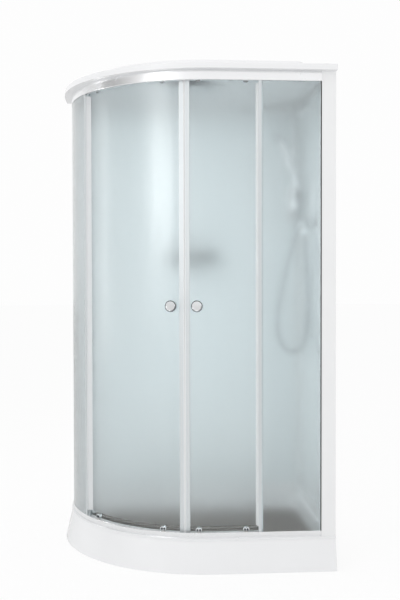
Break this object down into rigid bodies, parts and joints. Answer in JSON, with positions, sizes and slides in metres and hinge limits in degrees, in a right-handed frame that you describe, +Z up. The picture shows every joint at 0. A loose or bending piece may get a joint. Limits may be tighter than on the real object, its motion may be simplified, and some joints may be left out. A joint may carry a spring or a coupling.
{
  "type": "quadrant shower enclosure",
  "caption": "Offset quadrant shower cabin with curved sliding frosted doors, low tray, walls, roof, rain shower, hand shower and mixer.",
  "frame": {"origin": "centre of the footprint on the floor, under the middle of the cabin", "axes": "+Z up, +Y to the back wall, +X to the side wall on the right"},
  "size_m": [1.2, 0.8, 2.212],
  "materials": {
    "white_acrylic": "glossy white moulded acrylic",
    "dark_deck": "dark brown slats, satin",
    "galvanised_steel": "galvanised, matt",
    "black_rubber": "matt rubber",
    "grey_plastic": "moulded plastic",
    "chromed_brass": "mirror chrome",
    "polished_aluminium": "brightly polished",
    "white_aluminium": "white powder coat",
    "wall_glass": "white-backed glass, glossy",
    "frosted_glass": "satin frosted, clear along the foot",
    "clear_vinyl": "soft clear vinyl",
    "wheel_nylon": "smooth nylon",
    "chromed_plastic": "chrome-plated plastic",
    "stainless_steel": "bright stainless steel",
    "metal_hose": "metal-look flexible hose",
    "dark_plastic": "dark tinted plastic",
    "white_plastic": "glossy white plastic"
  },
  "bodies": {
    "cabin": {"tray_basin": "white_acrylic", "front_apron": "white_acrylic", "floor_deck": "dark_deck", "base_frame": "galvanised_steel", "foot_rods": "galvanised_steel", "foot_pads": "black_rubber", "drain_trap": "grey_plastic", "drain_grate": "chromed_brass", "bottom_rail": "polished_aluminium", "top_rail": "polished_aluminium", "door_stops": "black_rubber", "front_right_post": "white_aluminium", "rear_left_post": "white_aluminium", "corner_profile": "white_aluminium", "side_wall_panel": "wall_glass", "back_wall_panel": "wall_glass", "wall_base_profiles": "white_aluminium", "wall_top_profiles": "white_aluminium", "fixed_glass_left": "frosted_glass", "fixed_glass_right": "frosted_glass", "fixed_edge_profiles": "polished_aluminium", "fixed_lip_seals": "clear_vinyl", "glazing_gaskets": "black_rubber", "roof_canopy": "white_acrylic", "ceiling_pan": "white_acrylic", "rain_head": "chromed_plastic", "rain_supply": "chromed_brass", "soap_shelf": "dark_plastic", "shelf_rail": "stainless_steel", "dispenser_body": "white_plastic", "slide_bar": "stainless_steel", "bar_brackets": "chromed_plastic", "shower_hose": "metal_hose", "mixer_body": "chromed_brass", "mixer_nuts": "chromed_brass"},
    "left_door": {"left_door_glass": "frosted_glass", "left_door_stiles": "polished_aluminium", "left_door_seals": "clear_vinyl", "left_door_knob": "chromed_brass", "left_roller_carriers": "chromed_brass"},
    "right_door": {"right_door_glass": "frosted_glass", "right_door_stiles": "polished_aluminium", "right_door_seals": "clear_vinyl", "right_door_knob": "chromed_brass", "right_roller_carriers": "chromed_brass"},
    "left_top_front_wheel": {"left_top_front_wheel": "wheel_nylon"},
    "left_top_rear_wheel": {"left_top_rear_wheel": "wheel_nylon"},
    "left_bottom_front_wheel": {"left_bottom_front_wheel": "wheel_nylon"},
    "left_bottom_rear_wheel": {"left_bottom_rear_wheel": "wheel_nylon"},
    "right_top_front_wheel": {"right_top_front_wheel": "wheel_nylon"},
    "right_top_rear_wheel": {"right_top_rear_wheel": "wheel_nylon"},
    "right_bottom_front_wheel": {"right_bottom_front_wheel": "wheel_nylon"},
    "right_bottom_rear_wheel": {"right_bottom_rear_wheel": "wheel_nylon"},
    "slider": {"holder_slider": "chromed_plastic"},
    "hand_shower": {"holder_cone": "chromed_plastic", "handset": "chromed_plastic", "hose_cone_nut": "chromed_brass"},
    "temperature_handle": {"temperature_handle": "chromed_plastic"},
    "flow_handle": {"flow_handle": "chromed_plastic"},
    "dispenser_button": {"dispenser_button": "chromed_plastic"}
  },
  "joints": [
    {"name": "left_door_roll", "type": "hinge", "parent": "cabin", "child": "left_door", "pos_m": [0.08, 0.28, 1.14], "axis": [0, 0, -1], "range_deg": [0, 31]},
    {"name": "right_door_roll", "type": "slide", "parent": "cabin", "child": "right_door", "axis": [1, 0, 0], "range_m": [0, 0.225]},
    {"name": "left_top_front_wheel_turn", "type": "hinge", "parent": "left_door", "child": "left_top_front_wheel", "pos_m": [-0.14343, -0.30819, 2.11165], "axis": [0.3551, 0.9348, 0], "range_deg": [-1950.3, 2]},
    {"name": "left_bottom_front_wheel_turn", "type": "hinge", "parent": "left_door", "child": "left_bottom_front_wheel", "pos_m": [-0.14343, -0.30819, 0.15765], "axis": [0.3551, 0.9348, 0], "range_deg": [-2437.4, 2]},
    {"name": "left_top_rear_wheel_turn", "type": "hinge", "parent": "left_door", "child": "left_top_rear_wheel", "pos_m": [-0.43288, -0.08448, 2.11165], "axis": [0.8151, 0.5793, 0], "range_deg": [-1950.3, 2]},
    {"name": "left_bottom_rear_wheel_turn", "type": "hinge", "parent": "left_door", "child": "left_bottom_rear_wheel", "pos_m": [-0.43288, -0.08448, 0.15765], "axis": [0.8151, 0.5793, 0], "range_deg": [-2437.4, 2]},
    {"name": "right_top_front_wheel_turn", "type": "hinge", "parent": "right_door", "child": "right_top_front_wheel", "pos_m": [0.00877, -0.34515, 2.11165], "axis": [0.1132, 0.9936, 0], "range_deg": [-2, 1291.2]},
    {"name": "right_bottom_front_wheel_turn", "type": "hinge", "parent": "right_door", "child": "right_bottom_front_wheel", "pos_m": [0.00877, -0.34515, 0.15765], "axis": [0.1132, 0.9936, 0], "range_deg": [-2, 1613.4]},
    {"name": "right_top_rear_wheel_turn", "type": "hinge", "parent": "right_door", "child": "right_top_rear_wheel", "pos_m": [0.214, -0.3492, 2.11165], "axis": [0, 1, 0], "range_deg": [-2, 1291.2]},
    {"name": "right_bottom_rear_wheel_turn", "type": "hinge", "parent": "right_door", "child": "right_bottom_rear_wheel", "pos_m": [0.214, -0.3492, 0.15765], "axis": [0, 1, 0], "range_deg": [-2, 1613.4]},
    {"name": "slider_travel", "type": "slide", "parent": "cabin", "child": "slider", "axis": [0, 0, 1], "range_m": [-0.08, 0.12], "deforming": ["shower_hose"]},
    {"name": "holder_tilt", "type": "hinge", "parent": "slider", "child": "hand_shower", "pos_m": [0.535, 0.225, 1.746], "axis": [0, 1, 0], "range_deg": [-8, 8]},
    {"name": "temperature_turn", "type": "hinge", "parent": "cabin", "child": "temperature_handle", "pos_m": [0.553, 0.194, 1.515], "axis": [0, 1, 0], "range_deg": [-45, 135]},
    {"name": "flow_turn", "type": "hinge", "parent": "cabin", "child": "flow_handle", "pos_m": [0.553, -0.024, 1.515], "axis": [0, 1, 0], "range_deg": [-90, 90]},
    {"name": "button_press", "type": "slide", "parent": "cabin", "child": "dispenser_button", "axis": [0, 1, 0], "range_m": [0, 0.006], "stiffness_N_per_m": 300, "springref_m": -0.003}
  ],
  "couplings": [
    {"joint": "left_top_front_wheel_turn", "follows": "left_door_roll", "ratio": -62.85},
    {"joint": "left_bottom_front_wheel_turn", "follows": "left_door_roll", "ratio": -78.562},
    {"joint": "left_top_rear_wheel_turn", "follows": "left_door_roll", "ratio": -62.85},
    {"joint": "left_bottom_rear_wheel_turn", "follows": "left_door_roll", "ratio": -78.562},
    {"joint": "right_top_front_wheel_turn", "follows": "right_door_roll", "rad_per_m": 100},
    {"joint": "right_bottom_front_wheel_turn", "follows": "right_door_roll", "rad_per_m": 125},
    {"joint": "right_top_rear_wheel_turn", "follows": "right_door_roll", "rad_per_m": 100},
    {"joint": "right_bottom_rear_wheel_turn", "follows": "right_door_roll", "rad_per_m": 125}
  ]
}
